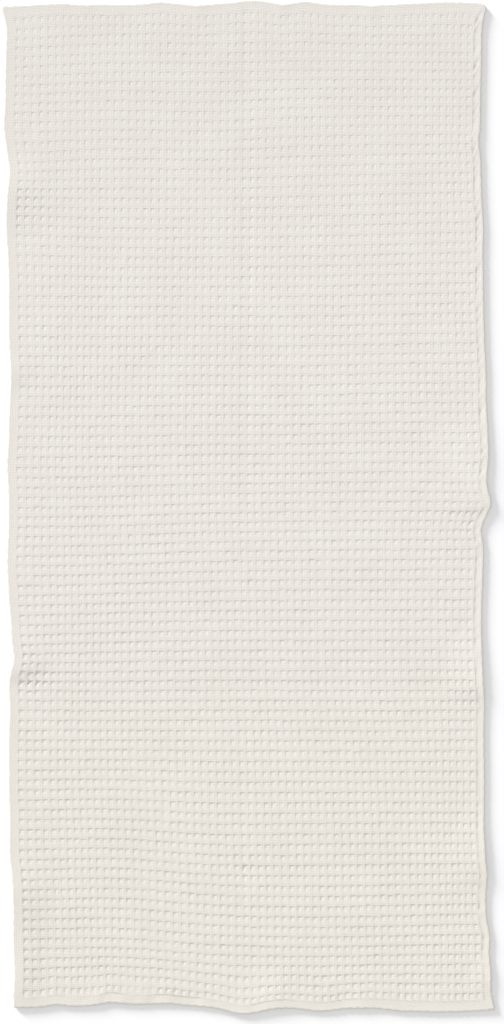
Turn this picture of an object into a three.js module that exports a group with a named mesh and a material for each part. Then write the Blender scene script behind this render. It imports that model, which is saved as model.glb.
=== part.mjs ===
// Bath towel in waffle weave, spread out flat and seen from above.
// One cotton cloth, woven in one piece and turned under on all four sides as a narrow hem.
// Millimetres, +Z up. The length runs along Y and the width along X, with the face up.
// The underside lies at z = 0, and the origin is the middle of the towel's box on that plane.

import * as THREE from 'three';

// Cloth
const WIDTH = 700; // side hem to side hem, flat
const LENGTH = 1477; // end hem to end hem, flat
const FIELD_THICK = 3; // waffle weave, over its ridges
const HEM_THICK = 2.2; // turned hem, pressed and stitched
const HEM_WIDE = 13.5; // from the edge to the hem's stitching
const HEM_SLOPE = 2; // the weave climbs over this much on each side of the stitching
const EDGE_ROUND = 0.8; // how far the folded edge bulges out between its two faces

// Where the flat cloth's middle lies from the origin
const MIDDLE_X = -3.65;
const MIDDLE_Y = 2.3;

// Lie of the cloth
const EASE_IN = 90; // an edge that is pushed in or out moves the cloth this far behind it
const LIE_FLAT = 0.4; // lifts lower than this are pressed down by the cloth's own weight
const FOLD_FADE = 30; // a fold line dies away over this length at each end
const FOLD_DEEPEST = 1.2; // where two fold lines cross, the face goes down no further than this
const FOLD_FACET = 9; // facet lines on each side of a fold line
const COLUMN_STEP = 24; // widest facet across
const ROW_STEP = 26; // widest facet along

// Outline. A row is one soft bulge of a side: `at` is its place along the side, measured from
// the origin, `push` is how far it goes outward (inward if negative), `spread` its half width.
const LEFT_SIDE = [
  { at: 732, push: 8, spread: 19 },
  { at: 620, push: 5, spread: 110 },
  { at: 560, push: 3.2, spread: 28 },
  { at: 492, push: -2.8, spread: 20 },
  { at: 415, push: 3.6, spread: 48 },
  { at: 190, push: -2.9, spread: 42 },
  { at: 60, push: 2.4, spread: 28 },
  { at: -78, push: 2.3, spread: 38 },
  { at: -178, push: -3.4, spread: 30 },
  { at: -228, push: -7.8, spread: 22 },
  { at: -300, push: -1.6, spread: 26 },
  { at: -462, push: -1.6, spread: 36 },
  { at: -540, push: -2, spread: 22 },
  { at: -590, push: -6.4, spread: 55 },
  { at: -690, push: -8, spread: 60 },
  { at: -740, push: -4, spread: 14 },
];
const RIGHT_SIDE = [
  { at: 735, push: 4.2, spread: 20 },
  { at: 690, push: -2.4, spread: 26 },
  { at: 560, push: -4.5, spread: 150 },
  { at: 537, push: -2.8, spread: 16 },
  { at: 415, push: 1.6, spread: 25 },
  { at: 150, push: -1.8, spread: 32 },
  { at: 120, push: 6.5, spread: 110 },
  { at: 75, push: 1.8, spread: 25 },
  { at: 6, push: 8.4, spread: 19 },
  { at: -34, push: -6.2, spread: 16 },
  { at: -170, push: -3, spread: 70 },
  { at: -292, push: 1.6, spread: 25 },
  { at: -400, push: 1.4, spread: 60 },
  { at: -500, push: 1.8, spread: 22 },
  { at: -540, push: 4.6, spread: 24 },
  { at: -590, push: 3, spread: 40 },
  { at: -630, push: 4.8, spread: 20 },
  { at: -690, push: 10.8, spread: 55 },
  { at: -740, push: 12, spread: 20 },
];
const TOP_END = [
  { at: -340, push: -3.8, spread: 38 },
  { at: -240, push: -2, spread: 20 },
  { at: -185, push: -1.8, spread: 34 },
  { at: -130, push: 2.4, spread: 18 },
  { at: -75, push: -2.6, spread: 22 },
  { at: 5, push: 4.6, spread: 28 },
  { at: 50, push: -2, spread: 11 },
  { at: 83, push: 3, spread: 16 },
  { at: 140, push: -1.8, spread: 28 },
  { at: 180, push: -3, spread: 14 },
  { at: 207, push: -1.5, spread: 18 },
  { at: 295, push: 2.4, spread: 36 },
];
const BOTTOM_END = [
  { at: -285, push: -3.6, spread: 16 },
  { at: -203, push: -3.4, spread: 18 },
  { at: -160, push: -5, spread: 95 },
  { at: -118, push: -2, spread: 18 },
  { at: -7, push: 9.6, spread: 33 },
  { at: 106, push: 5.4, spread: 31 },
  { at: 225, push: 1.6, spread: 18 },
  { at: 280, push: 6.4, spread: 75 },
];

// Lifts. A row is one soft ridge where the cloth stands off the surface: its middle, how far it
// runs each way from there, its half width across, its turn in degrees and its height.
const LIFTS = [
  { x: -352, y: -620, run: 105, across: 34, turn: 86, rise: 5.5 }, // rolled lower left side
  { x: -338, y: -246, run: 70, across: 17, turn: -8, rise: 5 }, // pull behind the left notch
  { x: -352, y: 448, run: 42, across: 26, turn: 80, rise: 4 }, // upper left side
  { x: -352, y: 182, run: 34, across: 20, turn: 85, rise: 2.6 }, // middle left side
  { x: 342, y: 4, run: 62, across: 19, turn: 4, rise: 5 }, // pucker behind the right bulge
  { x: 348, y: -288, run: 60, across: 18, turn: -5, rise: 3.4 }, // right side, below the middle
  { x: 350, y: -530, run: 44, across: 20, turn: 8, rise: 3 }, // right side, towards the bottom
  { x: 346, y: 536, run: 40, across: 20, turn: 0, rise: 2.8 }, // right side, near the top
  { x: 340, y: -706, run: 46, across: 24, turn: 62, rise: 3.6 }, // bottom right corner
  { x: -203, y: -738, run: 44, across: 27, turn: 84, rise: 5 }, // bottom hem, left wave
  { x: -118, y: -738, run: 34, across: 22, turn: 92, rise: 3.2 }, // bottom hem, second wave
  { x: -286, y: -738, run: 34, across: 20, turn: 90, rise: 3 }, // bottom hem, near the corner
  { x: 50, y: -738, run: 46, across: 26, turn: 104, rise: 4.6 }, // bottom hem, beside the point
  { x: 168, y: -740, run: 34, across: 24, turn: 90, rise: 3 }, // bottom hem, right wave
  { x: -75, y: 736, run: 34, across: 22, turn: 90, rise: 3 }, // top hem, left wave
  { x: 50, y: 738, run: 30, across: 20, turn: 90, rise: 2.8 }, // top hem, middle wave
  { x: 180, y: 736, run: 32, across: 22, turn: 90, rise: 3 }, // top hem, right wave
  { x: -240, y: 736, run: 30, across: 22, turn: 90, rise: 2.6 }, // top hem, near the corner
];

// Fold lines left by folding the towel in half and then in six. Each is a shallow trough pressed
// into the face, straight down or straight across the cloth.
const FOLDS_DOWN = [
  { at: -4, from: 0, to: 737, dip: 1, spread: 7 },
  { at: -7, from: -580, to: -310, dip: 0.5, spread: 7 },
];
const FOLDS_ACROSS = [
  { at: 517, from: -4, to: 345, dip: 0.7, spread: 8 },
  { at: 230, from: -4, to: 345, dip: 1, spread: 8 },
  { at: 18, from: -160, to: -4, dip: 0.8, spread: 8 },
  { at: -262, from: -20, to: 345, dip: 1, spread: 8 },
  { at: -533, from: -16, to: 345, dip: 0.7, spread: 8 },
];

const towelCloth = new THREE.MeshStandardMaterial({
  name: 'ivory waffle cotton',
  color: 0xe8e4dd,
  roughness: 0.92,
  metalness: 0,
  side: THREE.FrontSide,
});

// One at the middle, falling softly to nothing about two spreads away
function bump(distance, spread) {
  return Math.exp(-((distance / spread) ** 2));
}

function pushAt(side, place) {
  return side.reduce((sum, bulge) => sum + bulge.push * bump(place - bulge.at, bulge.spread), 0);
}

function liftAt(x, y) {
  const raised = LIFTS.reduce((sum, lift) => {
    const turn = THREE.MathUtils.degToRad(lift.turn);
    const along = (x - lift.x) * Math.cos(turn) + (y - lift.y) * Math.sin(turn);
    const aside = (y - lift.y) * Math.cos(turn) - (x - lift.x) * Math.sin(turn);
    return sum + lift.rise * bump(along, lift.run) * bump(aside, lift.across);
  }, 0);
  return Math.max(0, raised - LIE_FLAT);
}

function foldDip(fold, aside, along) {
  const started = THREE.MathUtils.smoothstep(along, fold.from - FOLD_FADE, fold.from);
  const ended = THREE.MathUtils.smoothstep(along, fold.to, fold.to + FOLD_FADE);
  return fold.dip * bump(aside - fold.at, fold.spread) * started * (1 - ended);
}

function dipAt(x, y) {
  const down = FOLDS_DOWN.reduce((sum, fold) => sum + foldDip(fold, x, y), 0);
  const across = FOLDS_ACROSS.reduce((sum, fold) => sum + foldDip(fold, y, x), 0);
  return Math.min(down + across, FOLD_DEEPEST);
}

// Thickness at a distance from the nearest edge: the pressed hem, then the waffle field
function thickAt(fromEdge) {
  const climb = THREE.MathUtils.smoothstep(fromEdge, HEM_WIDE - HEM_SLOPE, HEM_WIDE + HEM_SLOPE);
  return HEM_THICK + (FIELD_THICK - HEM_THICK) * climb;
}

// A point of the cloth, from its place on the flat cloth: `right` of the left edge and `up` from
// the bottom edge. `level` is 0 on the underside, 1 on the face and between them on the edge.
function clothPoint(right, up, level) {
  const x = MIDDLE_X + right - WIDTH / 2;
  const y = MIDDLE_Y + up - LENGTH / 2;
  const near = (distance) => 1 - THREE.MathUtils.smoothstep(distance, 0, EASE_IN);
  const shiftX = pushAt(RIGHT_SIDE, y) * near(WIDTH - right) - pushAt(LEFT_SIDE, y) * near(right);
  const shiftY = pushAt(TOP_END, x) * near(LENGTH - up) - pushAt(BOTTOM_END, x) * near(up);
  const fromEdge = Math.min(right, WIDTH - right, up, LENGTH - up);
  const face = thickAt(fromEdge) - (level === 1 ? dipAt(x, y) : 0);
  return [x + shiftX, y + shiftY, liftAt(x, y) + level * face];
}

// Facet lines over one direction of the cloth: close together at the hems and at the fold lines,
// and otherwise evenly spaced, no wider apart than `step`
function facetLines(size, step, folds) {
  const stops = [EDGE_ROUND, HEM_WIDE - HEM_SLOPE, HEM_WIDE + HEM_SLOPE];
  for (const fold of folds) {
    stops.push(fold - FOLD_FACET, fold, fold + FOLD_FACET);
  }
  stops.push(size - HEM_WIDE - HEM_SLOPE, size - HEM_WIDE + HEM_SLOPE, size - EDGE_ROUND);
  const lines = [stops[0]];
  for (const stop of stops.slice(1)) {
    const start = lines.at(-1);
    const spaces = Math.ceil((stop - start) / step);
    for (let i = 1; i <= spaces; i++) {
      lines.push(start + (stop - start) * i / spaces);
    }
  }
  return lines;
}

function makeTowel() {
  const foldsX = [FOLDS_DOWN[0].at - MIDDLE_X + WIDTH / 2];
  const foldsY = FOLDS_ACROSS.map((fold) => fold.at - MIDDLE_Y + LENGTH / 2).sort((a, b) => a - b);
  const columns = facetLines(WIDTH, COLUMN_STEP, foldsX);
  const rows = facetLines(LENGTH, ROW_STEP, foldsY);
  const points = [];
  const facets = [];

  // Underside and face, with the same facets
  const layer = (level) => {
    const first = points.length / 3;
    for (const up of rows) {
      for (const right of columns) {
        points.push(...clothPoint(right, up, level));
      }
    }
    return (column, row) => first + row * columns.length + column;
  };
  const under = layer(0);
  const face = layer(1);
  for (let row = 0; row < rows.length - 1; row++) {
    for (let column = 0; column < columns.length - 1; column++) {
      const corners = [[column, row], [column + 1, row], [column + 1, row + 1], [column, row + 1]];
      const [a, b, c, d] = corners.map(([i, j]) => face(i, j));
      facets.push(a, b, c, a, c, d);
      const [e, f, g, h] = corners.map(([i, j]) => under(i, j));
      facets.push(e, g, f, e, h, g);
    }
  }

  // Folded edge: one line of points round the outline, between the underside and the face
  const lastColumn = columns.length - 1;
  const lastRow = rows.length - 1;
  const round = [];
  for (let i = 0; i < lastColumn; i++) round.push([i, 0]);
  for (let j = 0; j < lastRow; j++) round.push([lastColumn, j]);
  for (let i = lastColumn; i > 0; i--) round.push([i, lastRow]);
  for (let j = lastRow; j > 0; j--) round.push([0, j]);
  const outward = (index, last, place, size) => (index === 0 ? 0 : index === last ? size : place);
  const firstEdge = points.length / 3;
  for (const [i, j] of round) {
    const right = outward(i, lastColumn, columns[i], WIDTH);
    const up = outward(j, lastRow, rows[j], LENGTH);
    points.push(...clothPoint(right, up, 0.5));
  }
  round.forEach((here, k) => {
    const next = (k + 1) % round.length;
    const there = round[next];
    facets.push(under(...here), under(...there), firstEdge + next);
    facets.push(under(...here), firstEdge + next, firstEdge + k);
    facets.push(firstEdge + k, firstEdge + next, face(...there));
    facets.push(firstEdge + k, face(...there), face(...here));
  });

  const geometry = new THREE.BufferGeometry();
  geometry.setAttribute('position', new THREE.Float32BufferAttribute(points, 3));
  geometry.setIndex(facets);
  geometry.computeVertexNormals();
  const towel = new THREE.Mesh(geometry, towelCloth);
  towel.name = 'towel';
  return towel;
}

const part = new THREE.Group();
part.add(makeTowel());

export default part;
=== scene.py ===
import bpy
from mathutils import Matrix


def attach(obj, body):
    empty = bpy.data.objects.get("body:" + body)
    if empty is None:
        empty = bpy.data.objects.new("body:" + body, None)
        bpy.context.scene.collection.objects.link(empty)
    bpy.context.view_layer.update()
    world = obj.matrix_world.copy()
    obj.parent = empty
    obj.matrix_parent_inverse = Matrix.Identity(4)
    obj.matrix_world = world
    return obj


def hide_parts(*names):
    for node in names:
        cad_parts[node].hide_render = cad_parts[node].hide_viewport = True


bl_info = {
    "name": "Waffle-weave bath towel",
    "version": (1, 0, 0),
    "blender": (4, 5, 0),
    "location": "3D View > Sidebar > Towel",
    "description": "Dresses a cotton bath towel in waffle weave, spread out face up, and lights it",
    "category": "Object",
}

import math

import bpy
import numpy as np
from bpy.props import FloatProperty, FloatVectorProperty, IntProperty, PointerProperty
from bpy.types import Operator, Panel, PropertyGroup

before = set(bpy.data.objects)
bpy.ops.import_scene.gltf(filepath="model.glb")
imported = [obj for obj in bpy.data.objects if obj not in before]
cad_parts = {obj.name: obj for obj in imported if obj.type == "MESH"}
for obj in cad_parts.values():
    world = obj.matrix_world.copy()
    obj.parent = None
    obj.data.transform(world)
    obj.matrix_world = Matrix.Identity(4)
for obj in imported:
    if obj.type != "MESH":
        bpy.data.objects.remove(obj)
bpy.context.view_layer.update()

MM = 0.001

# Where the flat cloth's middle lies, measured from the origin in millimetres
MIDDLE_X = -3.65
MIDDLE_Y = 2.3

# Lie of the cloth, in millimetres
EASE_IN = 90  # an edge that is pushed in or out moves the cloth this far behind it
LIE_FLAT = 0.2  # lifts lower than this are pressed down by the cloth's own weight
FOLD_FADE = 30  # a fold line dies away over this length at each end
FOLD_DEEPEST = 0.35  # where two fold lines cross, the face goes down no further than this
DRIFT_EASE = 40  # the weave's wandering along the cloth dies away this far from its ends

# Outline, in millimetres. A row is one soft bulge of a side: at, push outward, spread
LEFT_SIDE = [
    (740, 8, 22),
    (620, 5, 110),
    (560, 3.2, 28),
    (492, -2.8, 20),
    (415, 3.6, 48),
    (190, -2.9, 42),
    (60, 2.4, 28),
    (-78, 2.3, 38),
    (-178, -3.4, 30),
    (-222, -7.2, 22),
    (-300, -1.6, 26),
    (-462, -1.6, 36),
    (-540, -2, 22),
    (-590, -6.4, 55),
    (-690, -8, 60),
    (-740, -4, 14),
]
RIGHT_SIDE = [
    (735, 4.2, 20),
    (690, -0.6, 26),
    (560, -4.5, 150),
    (537, -2.8, 16),
    (415, 1.6, 25),
    (150, -1.8, 32),
    (120, 6.5, 110),
    (75, 1.8, 25),
    (6, 8.4, 19),
    (-34, -4.4, 16),
    (-170, -3, 70),
    (-292, 1.6, 25),
    (-400, 1.4, 60),
    (-500, 1.8, 22),
    (-540, 4.6, 24),
    (-590, 3, 40),
    (-630, 4.8, 20),
    (-690, 10.8, 55),
    (-740, 12, 20),
]
TOP_END = [
    (-340, -3.8, 38),
    (-240, -2, 20),
    (-185, -1.8, 34),
    (-130, 2.4, 18),
    (-75, -2.6, 22),
    (5, 4.6, 28),
    (50, -2, 11),
    (83, 3, 16),
    (140, -1.8, 28),
    (180, -3, 14),
    (207, -1.5, 18),
    (295, 2.4, 36),
]
BOTTOM_END = [
    (-285, -3.6, 16),
    (-203, -3.4, 18),
    (-160, -5, 95),
    (-118, -2, 18),
    (-7, 9.6, 33),
    (106, 5.4, 31),
    (225, 1.6, 18),
    (280, 6.4, 75),
]

# Lifts, in millimetres. A row is one soft ridge where the cloth stands off the floor:
# x and y of its middle, run each way from there, half width up from its line and down from it,
# turn in degrees, rise
LIFTS = [
    (-352, 458, 62, 44, 52, 16, 1.3),  # upper left side
    (-352, 196, 34, 26, 24, 20, 1.0),  # middle left side
    (-346, -242, 44, 50, 14, 14, 1.4),  # pull behind the left notch
    (-352, -574, 44, 44, 60, 6, 1.9),  # lower left side
    (-340, -690, 60, 22, 26, 84, 1.2),  # rolled bottom left corner
    (350, 536, 26, 30, 13, 0, 0.7),  # right side, near the top
    (350, 6, 60, 110, 16, 4, 1.5),  # pucker behind the right bulge
    (350, -266, 46, 72, 17, -4, 1.9),  # right side, below the middle
    (352, -528, 46, 70, 26, -4, 1.9),  # right side, towards the bottom
    (350, -690, 30, 26, 20, 30, 1.2),  # bottom right corner
    (-286, -738, 26, 18, 16, 90, 0.6),  # bottom hem, near the corner
    (-203, -738, 34, 26, 20, 88, 0.9),  # bottom hem, left wave
    (-118, -738, 30, 22, 16, 92, 0.9),  # bottom hem, second wave
    (40, -740, 44, 54, 24, 98, 1.8),  # bottom hem, beside the point
    (168, -740, 30, 26, 20, 90, 0.9),  # bottom hem, right wave
    (-240, 736, 26, 20, 16, 90, 0.5),  # top hem, near the corner
    (-75, 736, 28, 20, 16, 90, 0.6),  # top hem, left wave
    (50, 738, 26, 18, 14, 90, 0.6),  # top hem, middle wave
    (180, 736, 28, 20, 16, 90, 0.6),  # top hem, right wave
]

# Fold lines, in millimetres. Each is a shallow trough pressed into the face:
# at, from, to, dip, spread
FOLDS_DOWN = [
    (-4, 0, 737, 0.22, 7),
    (-7, -580, -310, 0.16, 7),
]
FOLDS_ACROSS = [
    (517, -4, 345, 0.06, 8),
    (230, -4, 345, 0.2, 8),
    (18, -160, -4, 0.2, 8),
    (-262, -20, 345, 0.2, 8),
    (-533, -16, 345, 0.16, 8),
]

# How far the weave has wandered from even rows and columns, in millimetres. Each line of a table
# holds a place along the cloth, and then the wandering there at each of DRIFT_PLACES across it.
DRIFT_PLACES = (-330, -200, -55, 75, 225, 315)
ROWS_DRIFT_UP = [
    (735, -5, 0, 0, 0, -2.5, -2.5),
    (700, -4.5, 0.5, 0.5, 1, -1, -1),
    (640, -3.5, 2.5, 2.5, 5.5, 4.5, 4.5),
    (570, 1, 5, 3, 9, 11, 11),
    (500, 0.5, 6, 5, 9.5, 13, 14.5),
    (428, 9, 6, 6, 8.5, 12.5, 15),
    (290, 7, 6.5, 7, 7, 10, 12),
    (146, 5, 5.5, 7, 7, 10.5, 10.5),
    (4, 1.5, 3, 7, 9, 10.5, 9.5),
    (-66, 2.5, 4.5, 9, 11, 12, 12.5),
    (-137, 2.5, 5.5, 9, 10.5, 11, 11.5),
    (-208, 3, 6.5, 9, 9, 9.5, 9.5),
    (-278, 8, 7, 8.5, 8, 8, 8.5),
    (-348, 7.5, 8, 7, 7, 6.5, 8),
    (-420, 7, 8, 3.5, 4, 4, 4),
    (-490, 7, 8, -0.5, 0, 1.5, 1.5),
    (-560, 5.5, 8, -2, -4, -1.5, 0),
    (-630, 6, 7, -3, -6, -3.5, -2),
    (-690, 5, 7.5, -2, -3, 0.5, 0.5),
    (-720, 4, 6.5, -3, -1.5, 6, 6),
]
COLUMNS_DRIFT_RIGHT = [
    (735, 1, -1, -0.5, -1, 3, 1),
    (570, 2, -3, -2, 0, 2, 1),
    (428, 4, -3, -3, -1, 2, 2),
    (290, 7, -4.5, -5, -2.5, 1.5, 3),
    (146, 7, -7, -7, -4, 2.5, 7),
    (75, 4, -7, -7, -4, 4, 9),
    (4, 5.5, -5, -6.5, -5, 3, 10),
    (-66, 5.5, -3, -5, -3.5, 0, 2),
    (-137, 7, -1.5, -3, -2.5, -1, -0.5),
    (-278, 7.5, -2, 0.5, 0.5, 1, 5),
    (-348, 6, -1.5, 3, 5.5, 6.5, 6),
    (-420, 6.5, 0.5, 5, 9, 10, 7),
    (-490, 9, 3, 6.5, 11.5, 12, 8),
    (-560, 12, 4.5, 10, 13, 13.5, 11.5),
    (-630, 15.5, 5.5, 10.5, 14.5, 15.5, 13),
    (-720, 17.5, 7.5, 10.5, 16.5, 17, 14),
]

# The hem's cross-section round its folded edge: distance in from the edge in millimetres, height
# over the underside as a share of the hem's thickness, share of the edge's scallops, and share
# of the dips that the waffle leaves in the hem
HEM_FACE = [
    (13.5, 0.945, 0.0, 0.0),
    (13.0, 0.945, 0.0, 0.1),
    (11.3, 0.945, 0.0, 1.0),
    (8.0, 0.955, 0.2, 0.6),
    (3.8, 0.93, 0.8, 0.2),
    (2.0, 0.985, 1.0, 0.0),
    (0.6, 0.86, 1.0, 0.0),
    (0.0, 0.5, 1.0, 0.0),
]
HEM_BACK = [
    (0.6, 0.14, 1.0, 0.0),
    (1.9, 0.0, 1.0, 0.0),
    (7.0, 0.0, 0.5, 0.0),
]
# Depth of those dips as a share of the hem's thickness
HEM_DIPS = {"left": 0.02, "right": 0.18, "bottom": 0.05, "top": 0.03}

# The hem's edge, in millimetres: drawn in once a cell and out between, and round at its corners
SCALLOP_IN = 0.5
SCALLOP_OUT = 0.25
CORNER_ROUND = 0.8
TOP_RIGHT_ROUND = 3.2

# Where the bottom hem's stitching has pulled the hem down below the weave, in millimetres from
# the left edge: from, to, depth, and share of the depth that it has only once a cell
CREVICES = [
    (40, 60, 0.25, 0),
    (126, 148, 0.7, 0),
    (200, 268, 0.7, 0.2),
    (345, 394, 0.5, 0),
    (430, 680, 0.45, 0.8),
]
# A crevice starts this far outside its ends and is full this far inside them, in millimetres
CREVICE_STARTS = 8
CREVICE_FULL = 4

# Where a crease pulls the pits open, in millimetres: x and y of its middle, run each way along
# it, half width across, turn in degrees, how much deeper it makes them as a share of their depth,
# below nothing where the weave lies smooth, and how far it slants them
PULLED_OPEN = [
    (-320, -256, 28, 12, 10, 2.2, 0.6),  # behind the left notch
    (-324, -222, 18, 16, 0, 0.4, 0.3),  # above the left notch
    (-333, 447, 28, 26, 0, 0.8, 0.4),  # upper left side
    (-333, -622, 80, 22, 90, 0.6, 0.3),  # lower left side
    (345, -10, 10, 7, 0, 1.2, 0.4),  # right bulge
    (336, -28, 13, 10, 0, 1.3, 0.6),  # below the right bulge
    (312, -8, 44, 7, 0, 0.6, 0.1),  # row behind the right bulge
    (336, -274, 26, 14, 0, 0.9, 0.3),  # right side, below the middle
    (-109, -708, 14, 7, 0, 0.7, 0.2),  # bottom hem, second wave
    (0, -530, 22, 8, 28, 0.9, 0.4),  # where two fold lines cross
    (-164, -712, 20, 9, 0, -0.7, 0),  # bottom hem, between the waves
    (5, 400, 380, 4.5, 90, 0.35, 0),  # beside the fold line down the middle
]

# A pit's corners: across and along from the cell's middle as shares of the cell, and depth as a
# share of the pit's. Each list has the lower left, lower right, upper left and upper right one.
# The upper and left walls are the steep ones, where the yarns pull tightest.
RIM_AT_BOTTOM = [(-0.37, -0.38, 0), (0.14, -0.38, 0), (-0.42, 0.25, 0), (0.42, 0.25, 0)]
FLOOR_AT_BOTTOM = [(-0.30, -0.14, 0.7), (-0.10, -0.14, 0.5), (-0.33, 0.19, 1), (0.19, 0.19, 0.85)]
# Towards the top end the cloth was pulled lengthwise, and its pits are narrower and longer
RIM_AT_TOP = [(-0.34, -0.36, 0), (0.08, -0.36, 0), (-0.35, 0.26, 0), (0.35, 0.26, 0)]
FLOOR_AT_TOP = [(-0.27, -0.16, 0.75), (-0.12, -0.16, 0.6), (-0.26, 0.19, 1), (0.11, 0.19, 0.85)]
# No pit comes closer to the hems' stitching than this share of a cell
CLEAR_OF_SEAM = 0.03
# A pit that a crease slants all the way is narrower by this share
SLANT_NARROWS = 0.4
# The flat parts of the underside reach over this share of a cell
BACK_FLAT = (0.25, 0.75)

# The pull along the cloth starts at this share of its length and is full at the top end, where it
# takes the second share off the pits' depth and unevenness
PULL_STARTS = 0.3
PULL_FLATTENS = 0.4
# The pits are a little shallower round this place too: shares of the length, and of the depth
SHALLOW_MIDDLE = 0.45
SHALLOW_SPREAD = 0.2
SHALLOW_BY = 0.15

# Unevenness of the weave and the hems, each as one standard deviation
PIT_PLACE_UNEVEN = 0.02  # of a cell
PIT_SIZE_UNEVEN = 0.05  # of a pit's width and length
PIT_DEPTH_UNEVEN = 0.09  # of a pit's depth
CORNER_PLACE_UNEVEN = 0.015  # of a cell
CORNER_HEIGHT_UNEVEN = 0.05  # millimetres
BACK_DEPTH_UNEVEN = 0.12  # of a back pit's depth
SCALLOP_UNEVEN = 0.12  # millimetres
DIP_UNEVEN = 0.3  # of a dip's depth

# A stitch's thread is a tube with this many sides. Its sections along the stitch: share of its
# length from the middle, share of the thread's radius, and height in radii
STITCH_SIDES = 6
STITCH_SECTIONS = [(-0.55, 0.4, -0.6), (-0.3, 1.0, 0.5), (0.3, 1.0, 0.5), (0.55, 0.4, -0.6)]

# How much of the surface's relief is threads, beside the lint
THREADS_SHOW = 0.6

# The cloth's darker patches and the floor's, as shares of their colour
DARKER_PATCHES = (0.965, 0.96, 0.95)
FLOOR_PATCHES = 0.995

# Casts multiplied into the cloth's colour towards its ends: a warmer tint towards the bottom end,
# and painted shade towards the top end, where the light falls off. Metres from the bottom edge where
# the cast starts and where it is full, and its share of red, green and blue
TOP_SHADE_AND_BOTTOM_TINT = [
    (0.65, 0.20, (0.993, 0.992, 0.967)),
    # painted shade: the top end goes darker and greyer, where the light falls off
    (1.05, 1.42, (0.976, 0.974, 0.977)),
]

# The photo's frame and the origin's place in it in pixels, and the real size of a pixel. The
# camera hangs straight over the cloth.
PHOTO_WIDE = 504
PHOTO_HIGH = 1024
ORIGIN_PIXEL = (248.4, 507.0)
PIXEL = 1.47 * MM
LENS = 100  # millimetres
SENSOR = 36  # millimetres
FARTHEST = 100  # metres from the camera that it still sees
# The floor's side in metres, and how far below the cloth it lies in millimetres
STAGE_SIZE = 60.0
FLOOR_BELOW = 0.2


def from_hex(colour):
    """An sRGB hex colour as linear red, green and blue."""
    parts = [(colour >> shift & 255) / 255 for shift in (16, 8, 0)]
    return tuple(c / 12.92 if c <= 0.04045 else ((c + 0.055) / 1.055) ** 2.4 for c in parts)


class ClothSettings(PropertyGroup):
    width: FloatProperty(
        name="Width", description="Side hem to side hem, flat", default=0.700, unit="LENGTH"
    )
    length: FloatProperty(
        name="Length", description="End hem to end hem, flat", default=1.477, unit="LENGTH"
    )
    columns: IntProperty(name="Columns", description="Waffle cells across", default=61)
    rows: IntProperty(name="Rows", description="Waffle cells along", default=100)
    hem_wide: FloatProperty(
        name="Hem width", description="Edge to stitching", default=0.0135, unit="LENGTH"
    )
    hem_thick: FloatProperty(
        name="Hem thickness", description="Turned and pressed", default=0.0042, unit="LENGTH"
    )
    field_thick: FloatProperty(
        name="Weave thickness", description="Over the ridges", default=0.0040, unit="LENGTH"
    )
    pit_depth: FloatProperty(
        name="Pit depth", description="Ridge to the bottom of a cell", default=0.00066, unit="LENGTH"
    )
    back_pit_depth: FloatProperty(
        name="Back pit depth", description="The same on the underside", default=0.0012, unit="LENGTH"
    )
    thread_spacing: FloatProperty(
        name="Thread spacing", description="As drawn in the surface", default=0.0023, unit="LENGTH"
    )
    colour: FloatVectorProperty(
        name="Cotton", description="Undyed cotton", subtype="COLOR", default=from_hex(0xE2DED8)
    )
    seed: IntProperty(name="Seed", description="Of the weave's unevenness", default=7)


class StitchSettings(PropertyGroup):
    thread_wide: FloatProperty(
        name="Thread", description="Thickness of the sewing thread", default=0.0005, unit="LENGTH"
    )
    stitch_long: FloatProperty(
        name="Stitch", description="Length of a stitch that shows", default=0.0025, unit="LENGTH"
    )
    stitch_pitch: FloatProperty(
        name="Pitch", description="From stitch to stitch", default=0.0032, unit="LENGTH"
    )
    pulled_in: FloatProperty(
        name="Pulled in", description="How far a stitch sinks in", default=0.00025, unit="LENGTH"
    )
    colour: FloatVectorProperty(
        name="Thread colour", description="Ecru cotton", subtype="COLOR", default=from_hex(0xE1DBD1)
    )


class StageSettings(PropertyGroup):
    key_power: FloatProperty(
        name="Key", description="Strength of the low lamp at the upper left", default=5.0
    )
    key_height: FloatProperty(
        name="Key height",
        description="Angle of the low lamp over the floor",
        default=math.radians(12),
        subtype="ANGLE",
    )
    key_from: FloatProperty(
        name="Key direction",
        description="Turn of the low lamp, so that it shines from the upper left",
        default=math.radians(-135),
        subtype="ANGLE",
    )
    key_softness: FloatProperty(
        name="Key softness",
        description="Angle that the low lamp fills",
        default=math.radians(14),
        subtype="ANGLE",
    )
    fill_power: FloatProperty(
        name="Fill", description="Strength of the even light from all round", default=0.77
    )
    floor_colour: FloatVectorProperty(
        name="Floor", description="White paint", subtype="COLOR", default=from_hex(0xF6F6F6)
    )


def bump(distance, spread):
    """One at the middle, falling softly to nothing about two spreads away."""
    return np.exp(-((distance / spread) ** 2))


def smooth_step(value, low, high):
    """Rises softly from nothing at low to one at high."""
    share = np.clip((value - low) / (high - low), 0, 1)
    return share * share * (3 - 2 * share)


def push_at(side, place):
    """How far a side's bulges push it outward at places along it."""
    at, push, spread = np.array(side, float).T
    return (push * bump(place[..., None] - at, spread)).sum(-1)


def lift_at(x, y):
    """How far the cloth stands off the floor at places on it."""
    raised = np.zeros_like(x)
    for at_x, at_y, run, upper, lower, turn, rise in LIFTS:
        cos, sin = math.cos(math.radians(turn)), math.sin(math.radians(turn))
        along = (x - at_x) * cos + (y - at_y) * sin
        aside = (y - at_y) * cos - (x - at_x) * sin
        raised += rise * bump(along, run) * bump(aside, np.where(aside > 0, upper, lower))
    return np.maximum(0, raised - LIE_FLAT)


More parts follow.
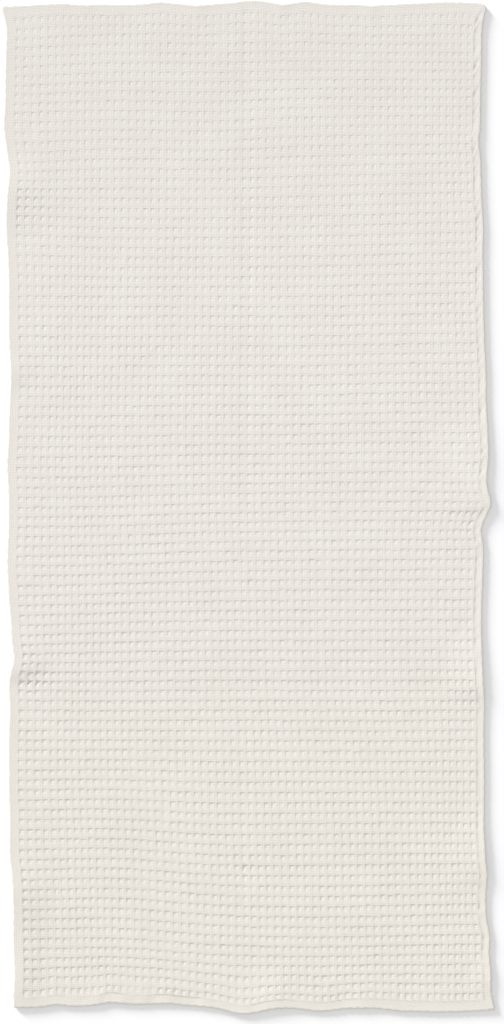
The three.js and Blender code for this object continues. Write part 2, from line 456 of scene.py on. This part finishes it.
def pulled_open_at(x, y):
    """How much deeper the pits are at places on the cloth, and how far they slant."""
    deeper = np.zeros_like(x)
    slant = np.zeros_like(x)
    for at_x, at_y, run, across, turn, times, lean in PULLED_OPEN:
        cos, sin = math.cos(math.radians(turn)), math.sin(math.radians(turn))
        along = (x - at_x) * cos + (y - at_y) * sin
        aside = (y - at_y) * cos - (x - at_x) * sin
        here = bump(along, run) * bump(aside, across)
        deeper += times * here
        slant = np.maximum(slant, lean * here)
    return deeper, slant


def fold_dip(folds, aside, along):
    """How far fold lines press the face down, at places across the lines and along them."""
    dip = np.zeros_like(aside)
    for at, start, end, deep, spread in folds:
        started = smooth_step(along, start - FOLD_FADE, start)
        ended = smooth_step(along, end, end + FOLD_FADE)
        dip += deep * bump(aside - at, spread) * started * (1 - ended)
    return dip


def dip_at(x, y):
    """How far all the fold lines press the face down at places on the cloth."""
    return np.minimum(fold_dip(FOLDS_DOWN, x, y) + fold_dip(FOLDS_ACROSS, y, x), FOLD_DEEPEST)


def station_weights(place, stations):
    """How much each station counts at each place, for a smooth curve through all of them."""
    stations = np.array(stations, float)
    unit = np.eye(len(stations))
    slope = np.gradient(unit, stations, axis=0)
    first = np.clip(np.searchsorted(stations, place) - 1, 0, len(stations) - 2)
    span = stations[first + 1] - stations[first]
    t = np.clip((place - stations[first]) / span, 0, 1)[..., None]
    span = span[..., None]
    start = (2 * t**3 - 3 * t**2 + 1) * unit[first] + (t**3 - 2 * t**2 + t) * span * slope[first]
    end = (3 * t**2 - 2 * t**3) * unit[first + 1] + (t**3 - t**2) * span * slope[first + 1]
    return start + end


def drift_at(table, x, y):
    """How far the weave has wandered at places on the cloth."""
    rows = np.array(table[::-1], float)
    along = station_weights(y, rows[:, 0]) @ rows[:, 1:]
    return (along * station_weights(x, DRIFT_PLACES)).sum(-1)


def lay_out(cloth, right, up):
    """Where points of the flat cloth lie: x and y, the lift there and the dip of its face, in
    metres, from their distance right of the left edge and up from the bottom edge."""
    right, up = right / MM, up / MM
    width, length = cloth.width / MM, cloth.length / MM
    near_left = 1 - smooth_step(right, 0, EASE_IN)
    near_right = 1 - smooth_step(width - right, 0, EASE_IN)
    near_bottom = 1 - smooth_step(up, 0, EASE_IN)
    near_top = 1 - smooth_step(length - up, 0, EASE_IN)
    even_x = MIDDLE_X + right - width / 2
    even_y = MIDDLE_Y + up - length / 2
    x = even_x + drift_at(COLUMNS_DRIFT_RIGHT, even_x, even_y) * (1 - near_left - near_right)
    y = even_y + drift_at(ROWS_DRIFT_UP, even_x, even_y) * smooth_step(
        np.minimum(up, length - up), 0, DRIFT_EASE
    )
    shift_x = push_at(RIGHT_SIDE, y) * near_right - push_at(LEFT_SIDE, y) * near_left
    shift_y = push_at(TOP_END, x) * near_top - push_at(BOTTOM_END, x) * near_bottom
    return (x + shift_x) * MM, (y + shift_y) * MM, lift_at(x, y) * MM, dip_at(x, y) * MM


class ClothMesh:
    """Collects the cloth's points and triangles. Each point keeps its place on the flat cloth."""

    def __init__(self, cloth):
        self.cloth = cloth
        self.places = []
        self.heights = []
        self.dips = []
        self.triangles = []
        self.count = 0

    def add(self, right, up, height, dips):
        """Adds points and returns their numbers in the same layout. The points of the face go down
        with its dips, where dips is 1, and the others stay, where it is 0."""
        numbers = self.count + np.arange(right.size).reshape(right.shape)
        self.places.append(np.stack([right.ravel(), up.ravel()], 1))
        self.heights.append(np.broadcast_to(height, right.shape).ravel())
        self.dips.append(np.full(right.size, float(dips)))
        self.count += right.size
        return numbers

    def quads(self, a, b, c, d):
        """Two triangles for each quad, with corners counter-clockwise as seen from outside."""
        a, b, c, d = (corner.ravel() for corner in (a, b, c, d))
        self.triangles += [np.stack([a, b, c], 1), np.stack([a, c, d], 1)]

    def band(self, inner, outer):
        """Joins two closed loops of as many points, seen from above with the outer one outside."""
        self.quads(inner, outer, np.roll(outer, -1), np.roll(inner, -1))

    def build(self, name):
        """The mesh of all that was added, laid out as the cloth lies."""
        places = np.concatenate(self.places)
        x, y, lift, dip = lay_out(self.cloth, places[:, 0], places[:, 1])
        z = lift + np.concatenate(self.heights) - dip * np.concatenate(self.dips)
        points = np.stack([x, y, z], 1)
        triangles = np.concatenate(self.triangles)
        mesh = bpy.data.meshes.new(name)
        mesh.from_pydata(points.tolist(), [], triangles.tolist())
        flat = mesh.uv_layers.new(name="flat_cloth")
        flat.data.foreach_set("uv", places[triangles.ravel()].astype(np.float32).ravel())
        mesh.shade_smooth()
        # Normals count by area, so that the broad ridges shade flat and only the pits curve
        corners = points[triangles]
        facing = np.cross(corners[:, 1] - corners[:, 0], corners[:, 2] - corners[:, 0])
        normals = np.zeros_like(points)
        for corner in range(3):
            np.add.at(normals, triangles[:, corner], facing)
        normals /= np.linalg.norm(normals, axis=1)[:, None]
        mesh.normals_split_custom_set_from_vertices(normals.tolist())
        return mesh


def rim_of(numbers):
    """The outer points of a grid of numbers, once round, counter-clockwise from the lower left."""
    return np.concatenate(
        [numbers[0, :-1], numbers[:-1, -1], numbers[-1, :0:-1], numbers[:0:-1, 0]]
    )


def tiles_of(numbers):
    """The four corners of each tile in a grid of numbers, counter-clockwise from the lower left."""
    return numbers[:-1, :-1], numbers[:-1, 1:], numbers[1:, 1:], numbers[1:, :-1]


def cell_grid(across, along):
    """Makes one grid of points from rows, 2, columns, 2 shares of a cell."""
    rows, _, columns, _ = across.shape
    return across.reshape(rows * 2, columns * 2), along.reshape(rows * 2, columns * 2)


def add_face(made, cloth, rng):
    """The waffle field's face. Each cell is a pit with sloping walls and a small floor, and the
    broad ridges between the pits are the tiles that join the cells."""
    rows, columns = cloth.rows, cloth.columns
    cell = np.array([cloth.width - 2 * cloth.hem_wide, cloth.length - 2 * cloth.hem_wide])
    cell /= (columns, rows)
    shape = (rows, 1, columns, 1)
    full = (rows, 2, columns, 2)
    row = np.arange(rows).reshape(rows, 1, 1, 1) + 0.5
    column = np.arange(columns).reshape(1, 1, columns, 1) + 0.5
    pulled = smooth_step(row / rows, PULL_STARTS, 1.0)
    middle_x = column + rng.normal(0, PIT_PLACE_UNEVEN, shape)
    middle_y = row + rng.normal(0, PIT_PLACE_UNEVEN, shape)
    wide = 1 + rng.normal(0, PIT_SIZE_UNEVEN, shape)
    tall = 1 + rng.normal(0, PIT_SIZE_UNEVEN, shape)
    flattened = 1 - PULL_FLATTENS * pulled
    deep = cloth.pit_depth * flattened * (1 + rng.normal(0, PIT_DEPTH_UNEVEN, shape))
    deep = deep * (1 - SHALLOW_BY * bump(row / rows - SHALLOW_MIDDLE, SHALLOW_SPREAD))
    uneven = CORNER_HEIGHT_UNEVEN * MM * flattened
    flat_x = cloth.hem_wide + column * cell[0] + 0 * row
    flat_y = cloth.hem_wide + row * cell[1] + 0 * column
    centre_x, centre_y, _, _ = lay_out(cloth, flat_x, flat_y)
    opened, slant = pulled_open_at(centre_x / MM, centre_y / MM)
    deep = deep * (1 + opened)
    wide = wide * (1 - SLANT_NARROWS * slant)
    layers = []
    for at_bottom, at_top in ((RIM_AT_BOTTOM, RIM_AT_TOP), (FLOOR_AT_BOTTOM, FLOOR_AT_TOP)):
        at_bottom = np.array(at_bottom, float).T.reshape(3, 1, 2, 1, 2)
        at_top = np.array(at_top, float).T.reshape(3, 1, 2, 1, 2)
        side_x, side_y, sunk = at_bottom + (at_top - at_bottom) * pulled
        across, along = cell_grid(
            middle_x + (side_x + side_y * slant) * wide + rng.normal(0, CORNER_PLACE_UNEVEN, full),
            middle_y + side_y * tall + rng.normal(0, CORNER_PLACE_UNEVEN, full),
        )
        across = np.clip(across, CLEAR_OF_SEAM, columns - CLEAR_OF_SEAM)
        along = np.clip(along, CLEAR_OF_SEAM, rows - CLEAR_OF_SEAM)
        height = cloth.field_thick - deep * sunk + uneven * rng.normal(0, 1, full)
        layers.append(
            made.add(
                cloth.hem_wide + across * cell[0],
                cloth.hem_wide + along * cell[1],
                height.reshape(across.shape),
                1,
            )
        )
    rim, floor = (tiles_of(layer) for layer in layers)
    made.quads(*(corner[::2, ::2] for corner in floor))
    for this, following in ((0, 1), (1, 2), (2, 3), (3, 0)):
        made.quads(
            rim[this][::2, ::2],
            rim[following][::2, ::2],
            floor[following][::2, ::2],
            floor[this][::2, ::2],
        )
    for first_row, first_column in ((0, 1), (1, 0), (1, 1)):
        made.quads(*(corner[first_row::2, first_column::2] for corner in rim))
    return layers[0]


def add_back(made, cloth, rng):
    """The waffle field's underside: its pits lie under the crossings of the face's ridges."""
    rows, columns = cloth.rows, cloth.columns
    field = np.array([cloth.width - 2 * cloth.hem_wide, cloth.length - 2 * cloth.hem_wide])
    cell = field / (columns, rows)
    across, along = np.meshgrid(
        np.arange(columns * 2) // 2 + np.tile(BACK_FLAT, columns),
        np.arange(rows * 2) // 2 + np.tile(BACK_FLAT, rows),
    )
    flat = made.add(cloth.hem_wide + across * cell[0], cloth.hem_wide + along * cell[1], 0.0, 0)
    across, along = np.meshgrid(np.arange(1, columns), np.arange(1, rows))
    deep = cloth.back_pit_depth * (1 + rng.normal(0, BACK_DEPTH_UNEVEN, across.shape))
    pits = made.add(cloth.hem_wide + across * cell[0], cloth.hem_wide + along * cell[1], deep, 0)
    a, b, c, d = tiles_of(flat)
    for first_row, first_column in ((0, 0), (0, 1), (1, 0)):
        tile = (slice(first_row, None, 2), slice(first_column, None, 2))
        made.quads(b[tile], a[tile], d[tile], c[tile])
    a, b, c, d = (corner[1::2, 1::2] for corner in (a, b, c, d))
    for start, end in ((b, a), (a, d), (d, c), (c, b)):
        made.triangles.append(np.stack([start.ravel(), end.ravel(), pits.ravel()], 1))
    return flat


def crevice_at(right, drawn_in):
    """How far the bottom hem is pulled down, in metres, at distances from the left edge."""
    down = np.zeros_like(right)
    for start, end, deep, dashed in CREVICES:
        started = smooth_step(right / MM, start - CREVICE_STARTS, start + CREVICE_FULL)
        ended = smooth_step(right / MM, end - CREVICE_FULL, end + CREVICE_STARTS)
        down += started * (1 - ended) * deep * MM * (1 - dashed * (1 - drawn_in))
    return down


def add_hem(made, cloth, face, back, rng):
    """The hem's rings, from the face's last points out round the folded edge and in again."""
    column, row = np.meshgrid(np.arange(cloth.columns * 2), np.arange(cloth.rows * 2))
    column, row = rim_of(column), rim_of(row)
    share_x = column / (cloth.columns * 2 - 1)
    share_y = row / (cloth.rows * 2 - 1)
    count = len(row)
    on_end = (share_y == 0) | (share_y == 1)
    drawn_in = np.where(on_end, column % 2 == 0, row % 2 == 1)
    scallop = np.where(drawn_in, SCALLOP_IN, -SCALLOP_OUT) + rng.normal(0, SCALLOP_UNEVEN, count)
    corner = on_end & ((share_x == 0) | (share_x == 1))
    scallop = np.where(corner, CORNER_ROUND, scallop)
    scallop = np.where((share_x == 1) & (share_y == 1), TOP_RIGHT_ROUND, scallop) * MM
    sides = [share_y == 0, share_y == 1, share_x == 0]
    depth = [HEM_DIPS["bottom"], HEM_DIPS["top"], HEM_DIPS["left"]]
    depth = np.select(sides, depth, HEM_DIPS["right"])
    sag = depth * (drawn_in + rng.normal(0, DIP_UNEVEN, count))
    pulled_down = crevice_at(share_x * cloth.width, drawn_in) * (share_y == 0)
    last = rim_of(face)
    for profile, dips in ((HEM_FACE, 1), (HEM_BACK, 0)):
        for inset, height, scalloped, dipped in profile:
            inward = inset * MM + scallop * scalloped
            right = inward + share_x * (cloth.width - 2 * inward)
            up = inward + share_y * (cloth.length - 2 * inward)
            level = cloth.hem_thick * (height - sag * dipped) - pulled_down * height
            ring = made.add(right, up, level, dips)
            made.band(last, ring)
            last = ring
    made.band(last, rim_of(back))


def stitch_places(cloth, stitches):
    """Each stitch's middle and heading on the flat cloth, and whether it is in the bottom hem."""
    seam = cloth.hem_wide
    far_x, far_y = cloth.width - seam, cloth.length - seam
    corners = [(seam, seam), (far_x, seam), (far_x, far_y), (seam, far_y)]
    middles, headings, in_bottom_hem = [], [], []
    for start, end in zip(corners, corners[1:] + corners[:1]):
        start, end = np.array(start), np.array(end)
        side = np.linalg.norm(end - start)
        count = round(side / stitches.stitch_pitch)
        share = ((np.arange(count) + 0.5) / count)[:, None]
        middles.append(start + (end - start) * share)
        headings.append(np.broadcast_to((end - start) / side, (count, 2)))
        in_bottom_hem.append(np.full(count, start[1] == end[1] == seam))
    return np.concatenate(middles), np.concatenate(headings), np.concatenate(in_bottom_hem)


def stitch_points(cloth, stitches):
    """The thread's points: by stitch, by section along it and then round the thread."""
    middles, headings, in_bottom_hem = stitch_places(cloth, stitches)
    half = headings * stitches.stitch_long / 2
    x, y, lift, _ = lay_out(cloth, *middles.T)
    ahead_x, ahead_y, _, _ = lay_out(cloth, *(middles + half).T)
    back_x, back_y, _, _ = lay_out(cloth, *(middles - half).T)
    along = np.stack([ahead_x - back_x, ahead_y - back_y], 1)
    aside = np.stack([-along[:, 1], along[:, 0]], 1) / np.linalg.norm(along, axis=1)[:, None]
    seam = cloth.hem_wide
    from_corner = (middles[:, 0] - seam) / (cloth.width - 2 * seam) * cloth.width
    hem_thick = cloth.hem_thick - crevice_at(from_corner, 1) * in_bottom_hem
    bottom = lift + hem_thick * HEM_FACE[0][1] - stitches.pulled_in
    turns = np.arange(STITCH_SIDES) * math.tau / STITCH_SIDES
    radius = stitches.thread_wide / 2
    points = []
    for share, fat, high in STITCH_SECTIONS:
        middle = np.stack([x, y], 1) + along * share
        ring = middle[:, None] + aside[:, None] * (np.cos(turns) * radius * fat)[None, :, None]
        height = bottom[:, None] + (high + np.sin(turns) * fat) * radius
        points.append(np.concatenate([ring, height[..., None]], 2))
    return np.stack(points, 1)


def stitch_triangles(count):
    """The triangles of so many stitches: round each thread, and at its two ends."""
    first = np.arange(count)[:, None] * len(STITCH_SECTIONS) * STITCH_SIDES
    triangles = []
    for section in range(len(STITCH_SECTIONS) - 1):
        for turn in range(STITCH_SIDES):
            a = first + section * STITCH_SIDES + turn
            b = first + section * STITCH_SIDES + (turn + 1) % STITCH_SIDES
            c, d = b + STITCH_SIDES, a + STITCH_SIDES
            triangles += [np.hstack([a, b, c]), np.hstack([a, c, d])]
    last = first + (len(STITCH_SECTIONS) - 1) * STITCH_SIDES
    for turn in range(1, STITCH_SIDES - 1):
        triangles.append(np.hstack([first, first + turn + 1, first + turn]))
        triangles.append(np.hstack([last, last + turn, last + turn + 1]))
    return np.concatenate(triangles)


def node(tree, kind, links=None, **settings):
    """Adds a node, sets its properties, and sets or links its inputs."""
    made = tree.nodes.new(kind)
    for name, value in settings.items():
        setattr(made, name, value)
    for socket, source in (links or {}).items():
        if isinstance(source, bpy.types.NodeSocket):
            tree.links.new(source, made.inputs[socket])
        else:
            made.inputs[socket].default_value = source
    return made


def mix_colours(tree, share, first, second, blend="MIX"):
    """A colour between two others, by a share that is a number or an output."""
    mix = node(
        tree, "ShaderNodeMix",
        {"Factor": share, "A": first, "B": second}, data_type="RGBA", blend_type=blend,
    )
    return next(output for output in mix.outputs if output.type == "RGBA")


def rising(tree, value, low, high):
    """An output that rises from nothing, where the value is low, to one, where it is high."""
    limits = {"From Min": low, "From Max": high, "To Min": 0.0, "To Max": 1.0}
    return node(tree, "ShaderNodeMapRange", {"Value": value, **limits}).outputs["Result"]


def new_material(name):
    material = bpy.data.materials.new(name)
    material.use_nodes = True
    material.node_tree.nodes.clear()
    return material, material.node_tree


def waffle_cotton(cloth):
    """Undyed cotton yarn, woven in a waffle and washed: matt, a little fuzzy, with soft threads."""
    material, tree = new_material("woven waffle cotton")
    flat = node(tree, "ShaderNodeUVMap", uv_map="flat_cloth").outputs["UV"]
    # Real threads lie 0.5 mm apart. They are drawn 2.3 mm apart, so that they show. At scale 1 a
    # wave texture has its bands tau / 20 apart.
    scale = math.tau / 20 / cloth.thread_spacing
    yarns = {"Vector": flat, "Scale": scale, "Distortion": 2.5, "Detail": 2.0, "Detail Scale": 1.0}
    warp = node(tree, "ShaderNodeTexWave", yarns, wave_type="BANDS", bands_direction="X")
    weft = node(tree, "ShaderNodeTexWave", yarns, wave_type="BANDS", bands_direction="Y")
    threads = node(
        tree, "ShaderNodeMath",
        {0: warp.outputs["Fac"], 1: weft.outputs["Fac"]}, operation="MULTIPLY",
    )
    lint = node(
        tree, "ShaderNodeTexNoise", {"Vector": flat, "Scale": 450.0, "Detail": 3.0, "Roughness": 0.6}
    )
    rise = node(
        tree, "ShaderNodeMath",
        {0: threads.outputs[0], 1: THREADS_SHOW, 2: lint.outputs["Fac"]}, operation="MULTIPLY_ADD",
    )
    relief = node(
        tree, "ShaderNodeBump",
        {"Height": rise.outputs[0], "Strength": 1.0, "Distance": 0.2 * MM},
    )
    patches = node(
        tree, "ShaderNodeTexNoise", {"Vector": flat, "Scale": 14.0, "Detail": 6.0, "Roughness": 0.7}
    )
    lighter = rising(tree, patches.outputs["Fac"], 0.3, 0.7)
    base = tuple(cloth.colour)
    darker = tuple(c * k for c, k in zip(base, DARKER_PATCHES))
    colour = mix_colours(tree, lighter, (*darker, 1), (*base, 1))
    # Painted shade: greyer and darker towards the top end, where the light falls off; and a warmer
    # tint towards the bottom end
    up = node(tree, "ShaderNodeSeparateXYZ", {"Vector": flat}).outputs["Y"]
    for bare, full, cast in TOP_SHADE_AND_BOTTOM_TINT:
        colour = mix_colours(tree, rising(tree, up, bare, full), colour, (*cast, 1), "MULTIPLY")
    shader = node(
        tree, "ShaderNodeBsdfPrincipled",
        {
            "Base Color": colour,
            "Roughness": 0.93,
            "Specular IOR Level": 0.2,
            "Sheen Weight": 0.15,
            "Sheen Roughness": 0.5,
            "Normal": relief.outputs["Normal"],
        },
    )
    node(tree, "ShaderNodeOutputMaterial", {"Surface": shader.outputs["BSDF"]})
    return material


def sewing_thread(stitches):
    """Spun cotton thread with two plies, a little glossier than the cloth."""
    material, tree = new_material("spun cotton thread")
    place = node(tree, "ShaderNodeTexCoord").outputs["Object"]
    plies = node(
        tree, "ShaderNodeTexNoise", {"Vector": place, "Scale": 1800.0, "Detail": 2.0}
    )
    relief = node(
        tree, "ShaderNodeBump",
        {"Height": plies.outputs["Fac"], "Strength": 0.6, "Distance": 0.1 * MM},
    )
    shader = node(
        tree, "ShaderNodeBsdfPrincipled",
        {
            "Base Color": (*stitches.colour, 1),
            "Roughness": 0.75,
            "Sheen Weight": 0.1,
            "Normal": relief.outputs["Normal"],
        },
    )
    node(tree, "ShaderNodeOutputMaterial", {"Surface": shader.outputs["BSDF"]})
    return material


def floor_paint(stage):
    """Matt white paint, rolled on: nearly even, with faint patches."""
    material, tree = new_material("matt white paint")
    place = node(tree, "ShaderNodeTexCoord").outputs["Object"]
    patches = node(tree, "ShaderNodeTexNoise", {"Vector": place, "Scale": 1.5, "Detail": 2.0})
    base = tuple(stage.floor_colour)
    darker = tuple(c * FLOOR_PATCHES for c in base)
    colour = mix_colours(tree, patches.outputs["Fac"], (*darker, 1), (*base, 1))
    shader = node(
        tree, "ShaderNodeBsdfPrincipled",
        {"Base Color": colour, "Roughness": 0.95, "Specular IOR Level": 0.1},
    )
    node(tree, "ShaderNodeOutputMaterial", {"Surface": shader.outputs["BSDF"]})
    return material


def put_in_scene(mesh, name, material):
    piece = bpy.data.objects.new(name, mesh)
    bpy.context.scene.collection.objects.link(piece)
    piece.data.materials.append(material)
    return piece


class TOWEL_OT_cloth(Operator):
    """Make the cloth: waffle field, hems and folded edge in one closed mesh"""

    bl_idname = "towel.cloth"
    bl_label = "Cloth"

    def execute(self, context):
        cloth = context.scene.towel_cloth
        rng = np.random.default_rng(cloth.seed)
        made = ClothMesh(cloth)
        face = add_face(made, cloth, rng)
        back = add_back(made, cloth, rng)
        add_hem(made, cloth, face, back, rng)
        towel = put_in_scene(made.build("waffle_cloth"), "waffle_cloth", waffle_cotton(cloth))
        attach(towel, "root")
        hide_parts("towel")
        return {"FINISHED"}


class TOWEL_OT_stitches(Operator):
    """Sew the hems: one short thread for each stitch that shows, along all four hems"""

    bl_idname = "towel.stitches"
    bl_label = "Hem stitches"

    def execute(self, context):
        cloth = context.scene.towel_cloth
        stitches = context.scene.towel_stitches
        points = stitch_points(cloth, stitches)
        mesh = bpy.data.meshes.new("hem_stitches")
        mesh.from_pydata(points.reshape(-1, 3).tolist(), [], stitch_triangles(len(points)).tolist())
        mesh.shade_smooth()
        seams = put_in_scene(mesh, "hem_stitches", sewing_thread(stitches))
        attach(seams, "root")
        return {"FINISHED"}


class TOWEL_OT_stage(Operator):
    """Set up the floor, the light and the camera straight above"""

    bl_idname = "towel.stage"
    bl_label = "Stage"

    def execute(self, context):
        stage = context.scene.towel_stage
        half = STAGE_SIZE / 2
        below = -FLOOR_BELOW * MM
        corners = [(x, y, below) for x, y in ((-half, -half), (half, -half), (half, half), (-half, half))]
        mesh = bpy.data.meshes.new("floor")
        mesh.from_pydata(corners, [], [(0, 1, 2, 3)])
        put_in_scene(mesh, "floor", floor_paint(stage))

        key = bpy.data.lights.new("low key lamp", "SUN")
        key.energy = stage.key_power
        key.angle = stage.key_softness
        lamp = bpy.data.objects.new("low key lamp", key)
        lamp.rotation_euler = (math.pi / 2 - stage.key_height, 0, stage.key_from)
        context.scene.collection.objects.link(lamp)

        world = bpy.data.worlds.new("even studio light")
        world.use_nodes = True
        world.node_tree.nodes.clear()
        light = node(
            world.node_tree, "ShaderNodeBackground",
            {"Color": (1, 1, 1, 1), "Strength": stage.fill_power},
        )
        node(world.node_tree, "ShaderNodeOutputWorld", {"Surface": light.outputs["Background"]})
        context.scene.world = world

        camera = bpy.data.cameras.new("camera straight above")
        camera.lens = LENS
        camera.sensor_width = SENSOR
        camera.clip_end = FARTHEST
        eye = bpy.data.objects.new("camera straight above", camera)
        aim_x = (PHOTO_WIDE / 2 - ORIGIN_PIXEL[0]) * PIXEL
        aim_y = (ORIGIN_PIXEL[1] - PHOTO_HIGH / 2) * PIXEL
        eye.location = (aim_x, aim_y, PHOTO_HIGH * PIXEL * LENS / SENSOR)
        context.scene.collection.objects.link(eye)
        context.scene.camera = eye
        context.scene.view_settings.view_transform = "Standard"
        return {"FINISHED"}


class TOWEL_PT_sidebar(Panel):
    bl_label = "Waffle towel"
    bl_idname = "TOWEL_PT_sidebar"
    bl_space_type = "VIEW_3D"
    bl_region_type = "UI"
    bl_category = "Towel"

    def draw(self, context):
        groups = (
            (context.scene.towel_cloth, TOWEL_OT_cloth),
            (context.scene.towel_stitches, TOWEL_OT_stitches),
            (context.scene.towel_stage, TOWEL_OT_stage),
        )
        for settings, operator in groups:
            box = self.layout.box()
            for name in settings.__annotations__:
                box.prop(settings, name)
            box.operator(operator.bl_idname)


CLASSES = (
    ClothSettings,
    StitchSettings,
    StageSettings,
    TOWEL_OT_cloth,
    TOWEL_OT_stitches,
    TOWEL_OT_stage,
    TOWEL_PT_sidebar,
)


def register():
    for cls in CLASSES:
        bpy.utils.register_class(cls)
    bpy.types.Scene.towel_cloth = PointerProperty(type=ClothSettings)
    bpy.types.Scene.towel_stitches = PointerProperty(type=StitchSettings)
    bpy.types.Scene.towel_stage = PointerProperty(type=StageSettings)


def unregister():
    del bpy.types.Scene.towel_stage
    del bpy.types.Scene.towel_stitches
    del bpy.types.Scene.towel_cloth
    for cls in reversed(CLASSES):
        bpy.utils.unregister_class(cls)


def main():
    register()
    bpy.ops.towel.cloth()
    bpy.ops.towel.stitches()
    bpy.ops.towel.stage()


if __name__ == "__main__":
    main()
